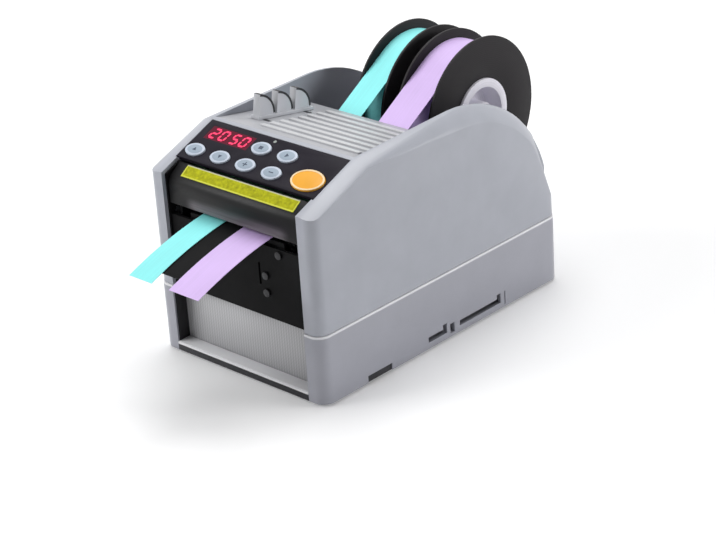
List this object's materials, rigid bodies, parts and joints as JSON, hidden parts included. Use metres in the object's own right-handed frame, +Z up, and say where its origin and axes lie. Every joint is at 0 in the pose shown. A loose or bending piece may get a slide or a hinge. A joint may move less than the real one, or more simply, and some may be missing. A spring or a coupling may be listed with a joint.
{
  "type": "electric tape dispenser",
  "caption": "Grey electric tape dispenser with a sloping black key panel, red display and orange start key, a shear cutter feeding cyan and lilac strips, and open tape reels at the rear.",
  "frame": {"origin": "middle of the whole part's box, on the surface that the feet stand on", "axes": "+Z up, -Y towards the front where the strips come out, +X to the right seen from the front"},
  "size_m": [0.137, 0.295, 0.162],
  "materials": {
    "grey_shell": "satin moulded, fine grain",
    "grey_base": "satin moulded, fine grain",
    "plate": "fine upright grain",
    "rubber": "matt",
    "steel": "bright",
    "panel_black": "satin film",
    "key_pale": "satin",
    "key_orange": "satin",
    "display": "tinted",
    "led": "clear",
    "board": "satin",
    "black_plastic": "satin",
    "smoke_cover": "smoked",
    "warning_yellow": "printed film, no words",
    "motor": "plain can",
    "black_metal": "satin black",
    "bronze": "plain",
    "gear_nylon": "natural",
    "silicone": "soft",
    "reel_hub": "satin",
    "reel_flange": "satin",
    "tape_cyan": "satin film",
    "tape_lilac": "satin film"
  },
  "bodies": {
    "body": {"base_tray": "grey_base", "upper_cover": "grey_shell", "front_plate": "plate", "rubber_feet": "rubber", "base_screws": "steel", "panel_fascia": "panel_black", "display_window": "display", "status_led": "led", "keypad_board": "board", "key_switches": "black_plastic", "display_module": "reel_hub", "cutter_face": "black_metal", "cutter_face_screws": "steel", "exit_tongue": "black_metal", "fixed_blade": "steel", "blade_bar": "black_metal", "cutter_motor": "motor", "carriage_guides": "black_plastic", "mech_frame": "black_metal", "frame_screws": "steel", "feed_motor": "motor", "shaft_bushes": "bronze", "reel_axle": "steel", "axle_collars": "black_plastic", "left_web": "tape_cyan", "right_web": "tape_lilac", "left_strip": "tape_cyan", "right_strip": "tape_lilac", "power_board": "board", "power_inlet": "black_plastic", "rocker_frame": "black_plastic"},
    "key_1_body": {"key_1": "key_pale"},
    "key_2_body": {"key_2": "key_pale"},
    "key_3_body": {"key_3": "key_pale"},
    "key_4_body": {"key_4": "key_pale"},
    "key_5_body": {"key_5": "key_pale"},
    "key_6_body": {"key_6": "key_pale"},
    "start_key_body": {"start_key": "key_orange"},
    "safety_cover_body": {"safety_cover": "smoke_cover", "yellow_strip": "warning_yellow"},
    "feed_lid_body": {"feed_lid": "grey_shell"},
    "side_guide_body": {"side_guide": "grey_shell"},
    "feed_body": {"feed_shaft": "steel", "feed_roller": "silicone", "feed_gear": "gear_nylon"},
    "pinion_body": {"motor_pinion": "bronze"},
    "pinch_body": {"pinch_shaft": "steel", "pinch_roller": "reel_hub"},
    "guide_roller_body": {"guide_roller": "steel"},
    "crank_body": {"crank_disc": "steel"},
    "carriage_body": {"blade_carriage": "motor", "moving_blade": "steel"},
    "left_reel_body": {"left_hub": "reel_hub", "left_flanges": "reel_flange", "left_tape_roll": "tape_cyan"},
    "right_reel_body": {"right_hub": "reel_hub", "right_flanges": "reel_flange", "right_tape_roll": "tape_lilac"},
    "power_rocker_body": {"power_rocker": "black_plastic"}
  },
  "joints": [
    {"name": "key_1_press", "type": "slide", "parent": "body", "child": "key_1_body", "axis": [0, 0.3778, -0.9259], "range_m": [0, 0.0008], "stiffness_N_per_m": 500},
    {"name": "key_2_press", "type": "slide", "parent": "body", "child": "key_2_body", "axis": [0, 0.3778, -0.9259], "range_m": [0, 0.0008], "stiffness_N_per_m": 500},
    {"name": "key_3_press", "type": "slide", "parent": "body", "child": "key_3_body", "axis": [0, 0.3778, -0.9259], "range_m": [0, 0.0008], "stiffness_N_per_m": 500},
    {"name": "key_4_press", "type": "slide", "parent": "body", "child": "key_4_body", "axis": [0, 0.3778, -0.9259], "range_m": [0, 0.0008], "stiffness_N_per_m": 500},
    {"name": "key_5_press", "type": "slide", "parent": "body", "child": "key_5_body", "axis": [0, 0.3778, -0.9259], "range_m": [0, 0.0008], "stiffness_N_per_m": 500},
    {"name": "key_6_press", "type": "slide", "parent": "body", "child": "key_6_body", "axis": [0, 0.3778, -0.9259], "range_m": [0, 0.0008], "stiffness_N_per_m": 500},
    {"name": "start_press", "type": "slide", "parent": "body", "child": "start_key_body", "axis": [0, 0.3778, -0.9259], "range_m": [0, 0.0008], "stiffness_N_per_m": 500},
    {"name": "safety_cover_lift", "type": "hinge", "parent": "body", "child": "safety_cover_body", "pos_m": [0, -0.07892, 0.12057], "axis": [-1, 0, 0], "range_deg": [0, 75]},
    {"name": "feed_lid_lift", "type": "hinge", "parent": "body", "child": "feed_lid_body", "pos_m": [0, -0.0428, 0.13629], "axis": [1, 0, 0], "range_deg": [0, 75]},
    {"name": "side_guide_slide", "type": "slide", "parent": "feed_lid_body", "child": "side_guide_body", "axis": [1, 0, 0], "range_m": [0, 0.008]},
    {"name": "feed_turn", "type": "hinge", "parent": "body", "child": "feed_body", "pos_m": [0, -0.05007, 0.09171], "axis": [1, 0, 0], "continuous": true},
    {"name": "pinion_turn", "type": "hinge", "parent": "body", "child": "pinion_body", "pos_m": [0.053, -0.0356, 0.07447], "axis": [1, 0, 0], "continuous": true},
    {"name": "pinch_turn", "type": "hinge", "parent": "body", "child": "pinch_body", "pos_m": [0, -0.05306, 0.11037], "axis": [1, 0, 0], "continuous": true},
    {"name": "guide_turn", "type": "hinge", "parent": "body", "child": "guide_roller_body", "pos_m": [0, 0.01242, 0.11782], "axis": [1, 0, 0], "continuous": true},
    {"name": "cutter_crank", "type": "hinge", "parent": "body", "child": "crank_body", "pos_m": [0, -0.07302, 0.068], "axis": [0, -1, 0], "range_deg": [0, 100]},
    {"name": "blade_lift", "type": "slide", "parent": "body", "child": "carriage_body", "axis": [0, 0, 1], "range_m": [0, 0.00766]},
    {"name": "left_reel_turn", "type": "hinge", "parent": "body", "child": "left_reel_body", "pos_m": [-0.019, 0.09798, 0.1125], "axis": [1, 0, 0], "continuous": true},
    {"name": "right_reel_turn", "type": "hinge", "parent": "body", "child": "right_reel_body", "pos_m": [0.017, 0.09798, 0.1125], "axis": [1, 0, 0], "continuous": true},
    {"name": "power_switch", "type": "hinge", "parent": "body", "child": "power_rocker_body", "pos_m": [-0.032, 0.12088, 0.025], "axis": [1, 0, 0], "range_deg": [0, 18]}
  ],
  "couplings": [
    {"joint": "pinion_turn", "follows": "feed_turn", "ratio": -2.5714},
    {"joint": "pinch_turn", "follows": "feed_turn", "ratio": -1.25},
    {"joint": "guide_turn", "follows": "feed_turn", "ratio": -2},
    {"joint": "cutter_crank", "follows": "blade_lift", "rad_per_m": 227.84}
  ]
}
